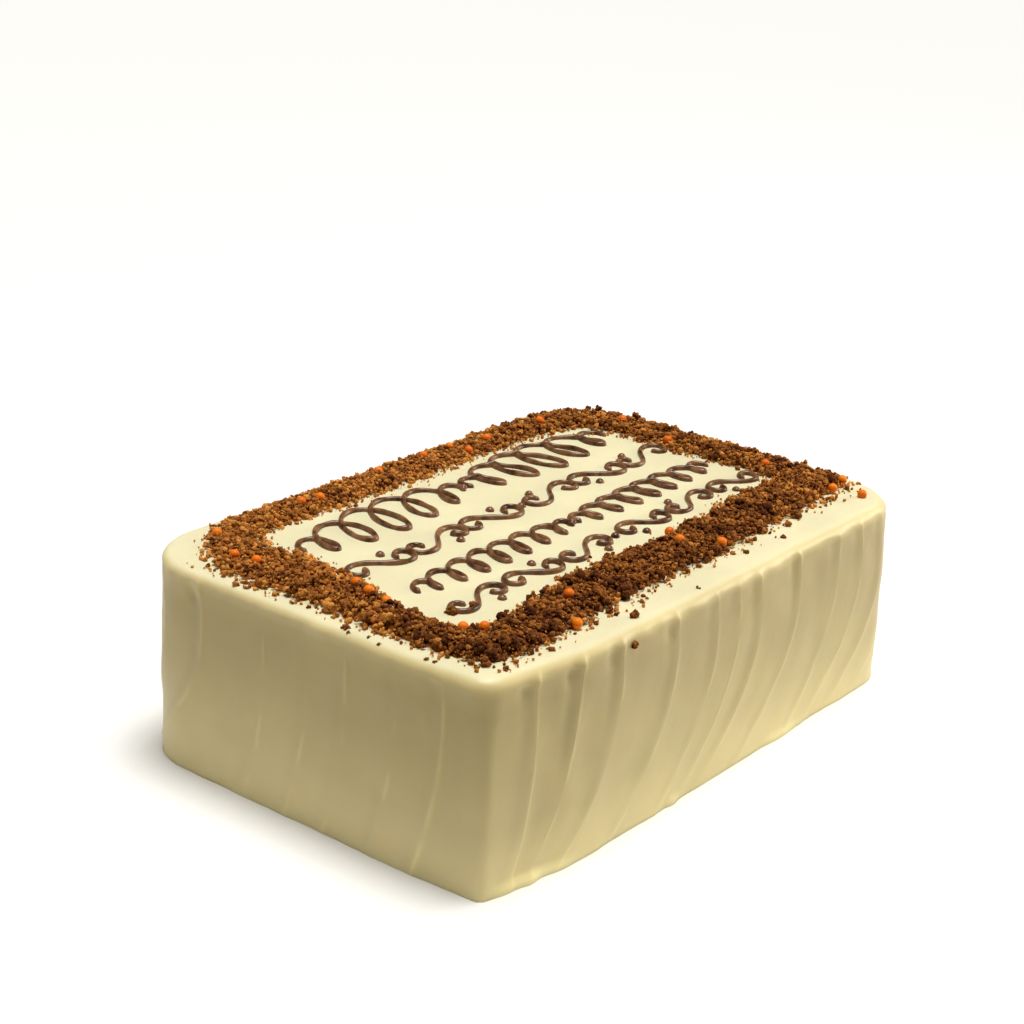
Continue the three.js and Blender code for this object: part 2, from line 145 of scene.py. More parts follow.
def rounded_outline(share, half_x, half_y, radii):
    """Places, outward directions and the length round of a rectangle with rounded corners.

    The share of the way round is measured from the middle of the front towards +X. Along a straight
    run the outward direction holds still, and along a corner it turns evenly with the length.
    """
    right, back, left, near = radii
    quarter = np.pi / 2
    middle = np.zeros_like(half_x)
    runs = [  # length, start or centre, corner radius, quarter turns at its start
        (half_x - right, middle, -half_y, None, 0),
        (right * quarter, half_x - right, -half_y + right, right, 0),
        (2 * half_y - right - back, half_x, -half_y + right, None, 1),
        (back * quarter, half_x - back, half_y - back, back, 1),
        (2 * half_x - back - left, half_x - back, half_y, None, 2),
        (left * quarter, -half_x + left, half_y - left, left, 2),
        (2 * half_y - left - near, -half_x, half_y - left, None, 3),
        (near * quarter, -half_x + near, -half_y + near, near, 3),
        (half_x - near, -half_x + near, -half_y, None, 4),
    ]
    around = sum(run[0] for run in runs)
    along = (share % 1) * around
    x, y, turn = np.zeros_like(along), np.zeros_like(along), np.zeros_like(along)
    start = middle
    for length, from_x, from_y, radius, quarters in runs:
        here = (along >= start) & (along <= start + length * (1 + 1e-9))
        gone = along - start
        angle = quarters * quarter + (gone / radius if radius is not None else 0 * gone)
        reach = gone if radius is None else radius + 0 * gone
        step_x = np.cos(angle) if radius is None else np.sin(angle)
        step_y = np.sin(angle) if radius is None else -np.cos(angle)
        x = np.where(here, from_x + reach * step_x, x)
        y = np.where(here, from_y + reach * step_y, y)
        turn = np.where(here, angle, turn)
        start = start + length
    return x, y, np.sin(turn), -np.cos(turn), around


def rim_outline(share):
    """The outline of the rim, before the knife's relief, at shares of the way round it."""
    half_x, half_y = CAKE_LENGTH / 2 + 0 * share, CAKE_WIDTH / 2 + 0 * share
    return rounded_outline(share, half_x, half_y, [radius + 0 * share for radius in RIM_CORNERS])


def stroke_marks(around):
    """Each stroke's lip: its place round the cake, bow, trail at the base, depth and bead.

    Along the front the trail grows from nothing at the near corner towards the full sweep, and what it
    still lacks falls off exponentially.
    """
    marks = []
    for at, bow, depth in FRONT_STROKES:
        trail = STROKE_SWEEP * (1 - math.exp((SWEEP_START - at) / SWEEP_GROWTH))
        marks.append((at, bow, trail, depth, BEADS["front"]))
    last = around + LEFT_STROKES[0][0] - 0.6 * STROKE_GAP[0]
    at, i = FRONT_STROKES[-1][0] + STROKE_GAP[0], 0
    while at < last:
        depth = mix(*STROKE_DEPTH, chance(i, 2))
        marks.append((at, STROKE_BOW, STROKE_SWEEP, depth, BEADS["front"]))
        at += mix(*STROKE_GAP, chance(i, 1))
        i += 1
    for left, bow, depth in LEFT_STROKES:
        marks.append((around + left, bow, LEFT_SWEEP, depth, BEADS["left"]))
    return np.array(marks)


def tuck(places):
    """The near corner drawn in: a shift that fades along the front and the left as 3t² - 2t³."""
    x, y = places[..., 0].copy(), places[..., 1].copy()
    along_front = smooth((NEAR_TUCK["front_run"] - CAKE_LENGTH / 2 - x) / NEAR_TUCK["front_run"])
    along_left = smooth((NEAR_TUCK["left_run"] - CAKE_WIDTH / 2 - y) / NEAR_TUCK["left_run"])
    places[..., 0] += NEAR_TUCK["left"] * along_left * smooth(0.5 - x / CAKE_LENGTH)
    places[..., 1] += NEAR_TUCK["front"] * along_front * smooth(0.5 - y / CAKE_WIDTH)
    return places


def grid_faces(rows, columns, wrap_rows=False):
    """Four-sided faces between neighbouring points of a grid whose columns close round."""
    row = np.arange(rows if wrap_rows else rows - 1)[:, None]
    column = np.arange(columns)[None, :]
    here, there = row * columns, (row + 1) % rows * columns
    after = (column + 1) % columns
    corners = [here + column, here + after, there + after, there + column]
    return np.stack(corners, axis=-1).reshape(-1, 4)


def pole_caps(rows, columns):
    """Triangles that close a grid's first and last rows, each round one of the two points after it."""
    column = np.arange(columns)
    after = (column + 1) % columns
    last = (rows - 1) * columns
    pole = 0 * column + rows * columns
    ends = [np.stack([after, column, pole], -1), np.stack([last + column, last + after, pole + 1], -1)]
    return np.concatenate(ends)


def fill_mesh(name, points, quads=None, triangles=None, tone=None):
    """A mesh object of that name, filled with points in millimetres and with its faces."""
    loops, sizes = [], []
    for faces in (quads, triangles):
        if faces is not None and len(faces):
            loops.append(faces.reshape(-1))
            sizes.append(np.full(len(faces), faces.shape[1]))
    loops, sizes = np.concatenate(loops), np.concatenate(sizes)
    mesh = bpy.data.meshes.new(name)
    mesh.vertices.add(len(points))
    mesh.vertices.foreach_set("co", (points * MM).astype(np.float32).reshape(-1))
    mesh.loops.add(len(loops))
    mesh.loops.foreach_set("vertex_index", loops.astype(np.int32))
    mesh.polygons.add(len(sizes))
    mesh.polygons.foreach_set("loop_start", (np.cumsum(sizes) - sizes).astype(np.int32))
    if tone is not None:
        layer = mesh.attributes.new("tone", "FLOAT", "POINT")
        layer.data.foreach_set("value", tone.astype(np.float32))
    mesh.update(calc_edges=True)
    mesh.polygons.foreach_set("use_smooth", np.full(len(sizes), True))
    piece = bpy.data.objects.new(name, mesh)
    bpy.context.scene.collection.objects.link(piece)
    return piece


def stroke_columns(around):
    """The columns of the frosting, closest together at the lips, and what the knife left along them.

    A stroke is a shallow scoop, the sine of pi t^0.85 across its width to the power 1.25, between the
    lips at its two edges. A lip carries a fine bead with a painted highlight, brighter on a deeper
    stroke, and ends in a tongue on the rim. A dimple and a painted shade lie before it. All four are
    bells across the lip.
    """
    marks = stroke_marks(around)
    following = np.roll(marks, -1, axis=0)
    following[-1, 0] += around
    across = (1 - np.cos(np.pi * np.arange(STROKE_COLUMNS) / STROKE_COLUMNS)) / 2
    at, bow, trail = (mix(marks[:, None, k], following[:, None, k], across).reshape(1, -1) for k in range(3))
    depth, width = following[:, None, 3], (following - marks)[:, None, 0]
    before, after = (1 - across) * width, across * width
    nearest = np.where(before < after, before, after)
    lip_depth = np.where(before < after, depth, marks[:, None, 3])
    lip_bead = np.where(before < after, following[:, None, 4], marks[:, None, 4])
    vigour = mix(1.0, 2.0, chance(np.arange(len(marks)), 21))[:, None]
    traces = {
        "scoop": depth * np.sin(np.pi * across**SCOOP_LEAN) ** SCOOP_POWER,
        "bead": lip_bead * bell(nearest, BEAD_WIDTH),
        # painted light: a highlight painted on each bead, and shade painted before each lip
        "painted_lip_highlight": mix(0.4, 1.1, lip_depth),
        "tongue": lip_depth**2 * bell(nearest, TONGUE["width"]),
        "dimple": depth**2 * vigour * bell(before - DIMPLE["before"], DIMPLE["width"]),
        "hollow": (0.35 + 0.65 * depth) * bell(before - LIP_SHADE["before"], LIP_SHADE["width"]),
    }
    return at, bow, trail, {name: trace.reshape(1, -1) for name, trace in traces.items()}


def side_rows(rim_y):
    """The height of each point up the side, and how far the rim draws it in.

    The rows climb evenly to the foot of the rim, and then make a quarter turn of the rim's radius.
    """
    narrowing = smooth((rim_y - RIM_CHANGE[0]) / (RIM_CHANGE[1] - RIM_CHANGE[0]))
    rim = mix(RIM_RADIUS["front"], RIM_RADIUS["rest"], narrowing)
    climb = np.linspace(0, 1, SIDE_ROWS, endpoint=False)[:, None]
    roll = np.linspace(0, np.pi / 2, RIM_ROWS)[:, None]
    z = np.concatenate([climb * (CAKE_HEIGHT - rim), CAKE_HEIGHT - rim * (1 - np.sin(roll))])
    return z, np.concatenate([0 * climb * rim, rim * (1 - np.cos(roll))])


def knife_relief(places, unrolled, traces):
    """How far the side stands out of the plain block, and its tone: painted highlight and shade at the lips.

    The strokes fade at the base and under the rim, and slow waves break them up. Added to them are the
    tongues and dimples near the rim, the waves of the skin, and the smears that bulge at the base of
    the front. A smear is e to the power of minus the fourth power of the distance over its half width.
    """
    x, y, z = (places[..., axis] for axis in range(3))
    v = z / CAKE_HEIGHT
    fade = smooth(v / STROKE_FADE["over"] + STROKE_FADE["foot"])
    fade = fade * smooth((STROKE_FADE["top"] - v) / STROKE_FADE["under"])
    uneven = np.maximum(0.15, 0.9 + 0.65 * ripple(unrolled, *SCOOP_WAVES))
    bead = traces["bead"] * smooth(0.3 + 0.9 * ripple(unrolled, *BEAD_WAVES))
    relief = fade * (bead - traces["scoop"] * uneven)
    # the tone is painted light: a painted highlight on each bead and painted shade beside each lip
    tone = fade * (bead * traces["painted_lip_highlight"] / BEADS["left"] - LIP_SHADE["shade"] * traces["hollow"] * uneven)
    relief += TONGUE["size"] * traces["tongue"] * bell(z - TONGUE["z"], TONGUE["reach"])
    tail = DIMPLE_TAIL["size"] * bell(z - DIMPLE_TAIL["z"], DIMPLE_TAIL["reach"])
    relief -= traces["dimple"] * (bell(z - DIMPLE["z"], DIMPLE["reach"]) + tail)
    for size, wavelength, seed in SKIN_WAVES:
        relief += size * ripple(places * [1, 1, 0.6], wavelength, seed)
    for size, wavelength, seed, level, reach in LEVEL_WAVES:
        relief += size * ripple(places, wavelength, seed) * bell(z - level, reach)
    for middle, half, bulge in BASE_SMEARS:
        smear = smooth((SMEAR_HEIGHT - z) / 2.5) * np.exp(-(((x - middle) / half) ** 4)) * (y < 0)
        # each smear bulges and is painted paler, a painted highlight
        relief, tone = relief + bulge * smear, tone + SMEAR_HIGHLIGHT * smear
    return relief, tone


def top_rings(edge):
    """The top as rings that shrink from its edge towards the middle, under faint waves."""
    closing = (1 - np.linspace(0, 1, TOP_ROWS + 1)[1:-1] ** 0.9)[:, None]
    ring = edge[None, :, :2] * closing[..., None]
    z = CAKE_HEIGHT + 0.14 * ripple(ring * [0.5, 1.0], *TOP_WAVES) * smooth((1 - closing) / 0.08)
    return np.concatenate([ring, z[..., None]], axis=-1), closing[:, 0]


def frosting_surface():
    """The frosted block as rows that climb the side, roll over the rim and close in on the middle.

    The columns follow the knife: up the side a lip runs forward by its bow times sin(pi v), and back by
    its trail times (1 - v)². The lengths along and up the unrolled surface come with it, for its map.
    """
    around = float(rim_outline(np.zeros(1))[4][0])
    at, bow, trail, traces = stroke_columns(around)
    z, inset = side_rows(rim_outline(at / around)[1])
    v = z / CAKE_HEIGHT
    turn = 2 * np.pi * at / around + 0 * z
    loop = around / (2 * np.pi) * np.stack([np.cos(turn), np.sin(turn)], axis=-1)
    unrolled = np.concatenate([loop, z[..., None]], axis=-1)
    bend = bow * np.sin(np.pi * v) - trail * (1 - v) ** 2 + ripple(unrolled * [1, 1, 0.8], *TRAIL_WAVES)
    spread = SIDE_BOW * 4 * v * (1 - v) + BASE_FLARE * (1 - v) - inset
    corners = [mix(BASE_CORNERS[i], RIM_CORNERS[i], v**CORNER_RISE) + spread for i in range(4)]
    half_x, half_y = CAKE_LENGTH / 2 + spread, CAKE_WIDTH / 2 + spread
    x, y, out_x, out_y, _ = rounded_outline((at + bend) / around, half_x, half_y, corners)
    relief, tone = knife_relief(np.stack([x, y, z], axis=-1), unrolled, traces)
    side = tuck(np.stack([x + out_x * relief, y + out_y * relief, z], axis=-1))
    top, closing = top_rings(side[-1])
    grid = np.concatenate([side, top])
    rows, columns = grid.shape[:2]
    points = np.concatenate([grid.reshape(-1, 3), [[0, 0, 0], [0, 0, CAKE_HEIGHT]]])
    tone = np.append(tone, np.zeros(len(points) - tone.size))
    along = np.append(at[0], at[0, 0] + around) * MM
    up = np.concatenate([z[:, 0], CAKE_HEIGHT + 60 * (1 - closing)]) * MM
    return (points, grid_faces(rows, columns), pole_caps(rows, columns), tone), along, up


def frosting_map(mesh, along, up):
    """A UV map that unrolls the frosting: the way round the cake across, and the way up it along."""
    layer = mesh.uv_layers.new(name="unrolled")
    columns = len(along) - 1
    row, column = np.divmod(np.arange((len(up) - 1) * columns), columns)
    u = np.stack([along[column], along[column + 1], along[column + 1], along[column]], axis=-1)
    v = np.stack([up[row], up[row], up[row + 1], up[row + 1]], axis=-1)
    here, there = along[:-1], along[1:]
    foot, top = np.stack([there, here, here], axis=-1), np.stack([here, there, here], axis=-1)
    u = np.concatenate([u.ravel(), foot.ravel(), top.ravel()])
    v = np.concatenate([v.ravel(), np.repeat(up[[0, -1]], columns * 3)])
    layer.data.foreach_set("uv", np.stack([u, v], axis=-1).ravel().astype(np.float32))


def node(tree, kind, **settings):
    """A shader node of that kind with its settings, and with its plain inputs set by name."""
    made = tree.nodes.new(kind)
    for name, value in settings.items():
        if hasattr(made, name):
            setattr(made, name, value)
        else:
            made.inputs[name.replace("_", " ")].default_value = value
    return made


def new_material(name, **inputs):
    """A new material, its node tree and its shader, with the shader's plain inputs set by name."""
    material = bpy.data.materials.new(name)
    material.use_nodes = True
    shader = material.node_tree.nodes["Principled BSDF"]
    for socket, value in inputs.items():
        shader.inputs[socket.replace("_", " ")].default_value = value
    return material, material.node_tree, shader


def noise(tree, vector, **settings):
    """Cloudy noise over those coordinates."""
    clouds = node(tree, "ShaderNodeTexNoise", **settings)
    tree.links.new(vector, clouds.inputs["Vector"])
    return clouds.outputs["Fac"]


def ranged(tree, value, start, end, low, high):
    """A value from start to end, carried over evenly to low and high."""
    span = node(tree, "ShaderNodeMapRange", From_Min=start, From_Max=end, To_Min=low, To_Max=high)
    tree.links.new(value, span.inputs["Value"])
    return span.outputs["Result"]


def combined(tree, operation, first, second):
    """Two values added or multiplied."""
    both = node(tree, "ShaderNodeMath", operation=operation)
    tree.links.new(first, both.inputs[0])
    tree.links.new(second, both.inputs[1])
    return both.outputs["Value"]


def colour_ramp(tree, value, tones):
    """The colour for a value, blended evenly between tones that each have a place and a colour."""
    ramp = node(tree, "ShaderNodeValToRGB")
    stops = ramp.color_ramp.elements
    stops.remove(stops[1])
    stops[0].position = tones[0][0]
    stops[0].color = (*tones[0][1], 1)
    for place, colour in tones[1:]:
        stops.new(place).color = (*colour, 1)
    tree.links.new(value, ramp.inputs["Fac"])
    return ramp.outputs["Color"]


def bump(tree, height, strength, distance, under=None):
    """The normal that a height gives, laid over another bump's normal where there is one."""
    relief = node(tree, "ShaderNodeBump", Strength=strength, Distance=distance)
    tree.links.new(height, relief.inputs["Height"])
    if under is not None:
        tree.links.new(under, relief.inputs["Normal"])
    return relief.outputs["Normal"]


def frosting_material():
    """Cream, soft under the skin, with knife drags and fine pores as bump.

    Its colour is painted light and shade: by height, paler on the lips and darker beside them.
    """
    material, tree, shader = new_material(
        "cream_cheese_frosting",
        Roughness=0.42,
        Specular_IOR_Level=0.4,
        Subsurface_Weight=0.35,
        Subsurface_Radius=(1.0, 0.62, 0.28),
        Subsurface_Scale=0.006,
    )
    place = node(tree, "ShaderNodeTexCoord").outputs["Object"]
    split = node(tree, "ShaderNodeSeparateXYZ")
    tree.links.new(place, split.inputs["Vector"])
    height = ranged(tree, split.outputs["Z"], 0.0, CAKE_HEIGHT * MM, 0.0, 1.0)
    clouds = ranged(tree, noise(tree, place, Scale=22.0, Detail=3.0, Roughness=0.5), 0.3, 0.7, 0.93, 1.04)
    # the tone attribute is painted light: brighter on the lips and base smears, darker beside the lips
    tone = node(tree, "ShaderNodeAttribute", attribute_name="tone").outputs["Fac"]
    shade = combined(tree, "MULTIPLY", clouds, ranged(tree, tone, -1.0, 1.0, 0.78, 1.22))
    toned = node(tree, "ShaderNodeVectorMath", operation="SCALE")
    # the colour by height is painted light and shade
    tree.links.new(colour_ramp(tree, height, FROSTING_LIGHT_AND_SHADE), toned.inputs[0])
    tree.links.new(shade, toned.inputs["Scale"])
    tree.links.new(toned.outputs["Vector"], shader.inputs["Base Color"])
    unrolled = node(tree, "ShaderNodeUVMap", uv_map="unrolled")
    stretch = node(tree, "ShaderNodeMapping", Scale=(170, 14, 1))
    tree.links.new(unrolled.outputs["UV"], stretch.inputs["Vector"])
    drags = noise(tree, stretch.outputs["Vector"], Scale=1.0, Detail=4.0, Roughness=0.55)
    pores = noise(tree, place, Scale=700.0, Detail=2.0, Roughness=0.5)
    skin = bump(tree, pores, 0.12, 0.0004, bump(tree, drags, 0.12, 0.0007))
    tree.links.new(skin, shader.inputs["Normal"])
    return material


frosting_parts, frosting_along, frosting_up = frosting_surface()
frosting = fill_mesh("frosting", *frosting_parts)
frosting_map(frosting.data, frosting_along, frosting_up)
frosting.data.materials.append(frosting_material())
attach(frosting, "root")
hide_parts("frosted_cake")

# Piped chocolate. Melted dark chocolate squeezed from a bag through a small round tip, in four rows of
# plain loops and lying waves with dots between them. Each rope flattens a little where it lands, and
# climbs over itself where it crosses.
ROPE_HALF_WIDTH = 1.4
ROPE_HEIGHT = 2.2
ROPE_FOOT = -0.5
ROPE_STEP = 0.6
ROPE_ROUND = 12
SCROLL_MIDDLE = 6.0
ROW_SLOPE = 0.02
LOOP_ROWS = [
    {"y": 56.0, "half": 122.0, "loops": 6, "low": 7.0, "high": 17.5},
    {"y": -13.0, "half": 121.0, "loops": 8, "low": 6.0, "high": 9.5},
]
WAVE_ROWS = [
    {"y": 18.5, "scale": 21.0, "first": 24.0, "pitch": 41.0, "each": 3, "up": 1},
    {"y": -39.0, "scale": 19.0, "first": 24.0, "pitch": 41.0, "each": 3, "up": -1},
]
DOT_RADIUS = 2.3
DOT_PLACE = (8.0, 7.5)  # from the middle of its wave
CROSSING_RISE, CROSSING_REACH = 1.25, 1.9
ROPE_TIP = 1.6  # the length that its round end takes
LOOP_ROUND, LOOP_LEAN = 0.62, 0.18
ROPE_SEED = 20
ROPE_WAVER = {"length": 16, "wide": 0.1, "tall": 0.09}
ROPE_BLOB = {"size": 0.22, "from_end": 1.8, "spread": 3}  # the thicker bead near each end
CHOCOLATE_TONES = [(0.32, (0.050, 0.013, 0.002)), (0.72, (0.31, 0.145, 0.060))]


def loop_run(half, loops, low, high):
    """A run of loops: the hand circles at an even pace while it travels, and circles widest midway."""
    turn = np.linspace(0, 2 * np.pi * loops, loops * 40 + 1)
    u = turn / turn[-1]
    ends = smooth(np.minimum(u, 1 - u) * loops / 0.9)
    travel = np.cumsum(0.12 + 0.88 * ends)
    tall = (low + (high - low) * np.sin(np.pi * u) ** 1.2) * (0.45 + 0.55 * ends)
    y = -tall * np.cos(turn)
    x = -half + 4 + (travel - travel[0]) / (travel[-1] - travel[0]) * (half - 8)
    return np.stack([x - LOOP_ROUND * tall * np.sin(turn) + LOOP_LEAN * y, y], axis=-1)


def wave_scroll(scale):
    """A lying wave that curls up at both ends: its bend grows evenly with distance from its middle."""
    reach, steps = 1.95, 90
    step = 2 * reach / steps
    t = -reach + (np.arange(steps) + 0.5) * step
    heading = np.pi * t * t / 2 - np.pi / 4
    path = np.cumsum(np.stack([np.cos(heading), np.sin(heading)], axis=-1) * step, axis=0)
    path = np.concatenate([np.zeros((1, 2)), path])
    return scale * (path - path[-1] / 2)


def on_top(path, row_y):
    """The path moved to its row, which climbs slightly towards +X."""
    return np.stack([path[:, 0] + SCROLL_MIDDLE, path[:, 1] + row_y + ROW_SLOPE * path[:, 0]], axis=-1)


def even_steps(path, step):
    """The path walked again in equal steps."""
    gone = np.append(0, np.cumsum(np.linalg.norm(np.diff(path, axis=0), axis=1)))
    stops = np.linspace(0, gone[-1], max(4, round(gone[-1] / step)))
    return np.stack([np.interp(stops, gone, path[:, axis]) for axis in (0, 1)], axis=-1), stops


def crossing_lift(path, stops):
    """How far a rope rises where it crosses what it laid before: a bell over each close later pass."""
    apart = np.linalg.norm(path[:, None] - path[None, :], axis=-1)
    earlier = stops[:, None] - stops[None, :] > 5
    nearest = np.where(earlier, apart, 99.0).min(axis=1)
    kernel = np.hanning(9)
    return np.convolve(bell(nearest, CROSSING_REACH), kernel / kernel.sum(), mode="same")


def rope(path, seed):
    """A rope swept along a path on the top: a domed section whose foot is sunk in the frosting.

    Its half width and height waver with slow waves along it, and both shrink at the ends as the
    root of 1 - (1 - s/r)² does on a round tip.
    """
    path, stops = even_steps(path, ROPE_STEP)
    forward = np.gradient(path, axis=0)
    forward /= np.linalg.norm(forward, axis=1, keepdims=True)
    sideways = np.stack([forward[:, 1], -forward[:, 0]], axis=-1)
    waver = ripple(stops[:, None], ROPE_WAVER["length"], seed)
    to_end = np.minimum(stops, stops[-1] - stops)
    tip = np.sqrt(np.clip(1 - (1 - np.clip(to_end / ROPE_TIP, 0, 1)) ** 2, 0.02, 1))
    near_end = np.exp(-((to_end - ROPE_BLOB["from_end"]) ** 2) / ROPE_BLOB["spread"])
    blob = 1 + ROPE_BLOB["size"] * near_end
    wide = ROPE_HALF_WIDTH * tip * blob * (1 + ROPE_WAVER["wide"] * waver)
    tall = ROPE_HEIGHT * tip * (1 + ROPE_WAVER["tall"] * waver) + CROSSING_RISE * crossing_lift(path, stops)
    arch = np.linspace(-0.18 * np.pi, 1.18 * np.pi, ROPE_ROUND)
    over = np.cos(arch)[None, :, None] * wide[:, None, None] * sideways[:, None, :]
    rise = np.where(np.sin(arch) > 0, np.sin(arch) * tall[:, None], ROPE_FOOT)
    grid = np.concatenate([path[:, None, :] + over, CAKE_HEIGHT + rise[..., None]], axis=-1)
    points = np.concatenate([grid.reshape(-1, 3), grid[[0, -1]].mean(axis=1)])
    return points, grid_faces(len(grid), ROPE_ROUND), pole_caps(len(grid), ROPE_ROUND)


def ball_points(rings, sectors, stagger):
    """A unit ball's points: rings from the bottom up, every second one staggered, then its poles."""
    down = np.linspace(0, np.pi, rings + 2)[1:-1, None]
    turn = 2 * np.pi * (np.arange(sectors)[None, :] + stagger * (np.arange(rings)[:, None] % 2)) / sectors
    ball = np.stack([np.sin(down) * np.cos(turn), np.sin(down) * np.sin(turn), np.cos(down) + 0 * turn], -1)
    return np.concatenate([ball[::-1].reshape(-1, 3), [[0, 0, -1], [0, 0, 1]]])


def dome(x, y, rings=7, sectors=14):
    """A dot with its foot in the frosting: a slightly flattened ball."""
    size = DOT_RADIUS * np.array([1, 1, 0.95])
    points = ball_points(rings, sectors, 0) * size + [x, y, CAKE_HEIGHT]
    return points, grid_faces(rings, sectors), pole_caps(rings, sectors)


def joined(parts):
    """Several sets of points, four-sided and three-sided faces as one set."""
    points, quads, triangles, start = [], [], [], 0
    for some_points, some_quads, some_triangles in parts:
        points.append(some_points)
        quads.append(some_quads + start)
        triangles.append(some_triangles + start)
        start += len(some_points)
    return np.concatenate(points), np.concatenate(quads), np.concatenate(triangles)


def piping():
    """All the ropes and dots: every row is drawn for the left half and mirrored for the right."""
    mirror = np.array([-1, 1])
    paths = []
    dots = [on_top(np.zeros((1, 2)), row["y"])[0] for row in LOOP_ROWS + WAVE_ROWS]
    for row in LOOP_ROWS:
        run = loop_run(row["half"], row["loops"], row["low"], row["high"])
        paths += [on_top(run, row["y"]), on_top(run * mirror, row["y"])]
    for row in WAVE_ROWS:
        for i in range(row["each"]):
            flip = row["up"] * (-1 if i % 2 else 1)
            middle = -row["first"] - i * row["pitch"]
            wave = wave_scroll(row["scale"]) * [1, flip] + [middle, 0]
            dot = np.array([[middle + DOT_PLACE[0], flip * DOT_PLACE[1]]])
            paths += [on_top(wave, row["y"]), on_top(wave * mirror, row["y"])]
            dots += [on_top(dot, row["y"])[0], on_top(dot * mirror, row["y"])[0]]
    ropes = [rope(path, ROPE_SEED + i) for i, path in enumerate(paths)]
    return joined(ropes + [dome(x, y) for x, y in dots])


def chocolate_material():
    """Dark chocolate with a dull shine, a little paler where it has set in the air."""
    material, tree, shader = new_material("piped_chocolate", Roughness=0.33, Specular_IOR_Level=0.45)
    place = node(tree, "ShaderNodeTexCoord").outputs["Object"]
    clouds = noise(tree, place, Scale=160.0, Detail=3.0, Roughness=0.6)
    tree.links.new(colour_ramp(tree, clouds, CHOCOLATE_TONES), shader.inputs["Base Color"])
    tree.links.new(bump(tree, clouds, 0.2, 0.0004), shader.inputs["Normal"])
    return material


chocolate_piping = fill_mesh("chocolate_piping", *piping())
chocolate_piping.data.materials.append(chocolate_material())
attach(chocolate_piping, "root")
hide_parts("frosted_cake")

# Crumb border. Baked carrot cake rubbed to crumbs and heaped by hand in a ring round the top.
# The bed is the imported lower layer, and larger and finer crumbs lie loose over it and past its edges.
INNER_EDGE = {"x": 6.0, "y": 11.5, "half": (127.0, 68.5), "corners": (14, 28, 16, 16), "tilt": 0.03}
OUTER_EDGE = {"x": 2.0, "y": 8.0, "half": (161.0, 97.0), "corners": (14, 40, 54, 22), "tilt": 0.045}
EDGE_SWELLS = [  # middle and reach as shares of the way round, shift of the inner and of the outer edge
    (0.8, 0.04, 0.36, 0.0),
    (0.93, 0.03, -0.07, 0.0),
    (0.11, 0.04, -0.08, 0.08),
    (0.02, 0.05, 0.0, 0.09),
]
HEAP_SPAN, SPAN_WAVER = (0.02, 0.96), 0.05  # where the heap starts and ends between the two edges
BORDER_HEIGHT, HEIGHT_WAVER = 5.2, 0.22
FAR_DROP = {"share": 0.4, "back": (20.0, 80.0), "right": (120.0, 150.0)}  # lower past these y and x
BED_FOOT = CAKE_HEIGHT + 0.25
BED_AROUND = 1150
BED_ACROSS = 42
BED_SPAN, BED_RAGGED = (0.1, 0.9), 0.04  # shares of the heap's width
BED_FILL = 0.8  # of the heap's height
CRUMB_TONES = [(0.25, (0.085, 0.022, 0.004)), (0.72, (0.36, 0.125, 0.022)), (1.0, (0.65, 0.27, 0.052))]


def edge_place(share, edge):
    """Places on one edge of the border: a rounded rectangle whose front side runs a little askew."""
    half_x, half_y = (np.array([half]) for half in edge["half"])
    corners = [np.array([float(radius)]) for radius in edge["corners"]]
    x, y, _, _, _ = rounded_outline(share, half_x, half_y, corners)
    lean = edge["tilt"] * x * smooth(0.5 - y / (2 * half_y))
    return np.stack([edge["x"] + x, edge["y"] + y + lean], axis=-1)


def border_wobble(share, phase):
    """Uneven waves round the border, with five, eleven and twenty-three of them."""
    waves = [(5, 1.0, 0.5), (11, 2.3, 0.3), (23, 3.7, 0.2)]
    return sum(size * np.sin(2 * np.pi * (n * share + k * phase)) for n, k, size in waves)


def border_place(share, across):
    """Places in the heap, a share of the way round it and across it from its inner to its outer edge."""
    start = HEAP_SPAN[0] + SPAN_WAVER * border_wobble(share, 0.1)
    end = HEAP_SPAN[1] + SPAN_WAVER * border_wobble(share, 0.7)
    for middle, reach, inner, outer in EDGE_SWELLS:
        near = bell(share - middle, reach)
        start, end = start + inner * near, end + outer * near
    part = mix(start, end, across)[..., None]
    return mix(edge_place(share, INNER_EDGE), edge_place(share, OUTER_EDGE), part)


def border_height(share, across):
    """The heap's height above its foot: a flat-topped arch across, uneven, and lower on the far sides."""
    places = border_place(share, across)
    far = 0
    for axis, side in ((1, "back"), (0, "right")):
        start, end = FAR_DROP[side]
        far = np.maximum(far, smooth((places[..., axis] - start) / (end - start)))
    arch = np.clip(1 - np.abs(2 * across - 1) ** 2.4, 0, 1) ** 0.6
    height = BORDER_HEIGHT * (1 - FAR_DROP["share"] * far)
    return height * (1 + HEIGHT_WAVER * border_wobble(share, 0.4)) * arch


def heap_bumps(places):
    """Uneven waves a clump wide over the heap."""
    return ripple(places, 11, 32, 14)


def golden_share(places):
    """How golden the heap is: most towards the left and the back, and half as much towards the right."""
    x, y = places[:, 0], places[:, 1]
    return np.maximum(smooth((0.9 * y - 0.5 * x + 35) / 130), 0.5 * smooth((x - 60) / 50))


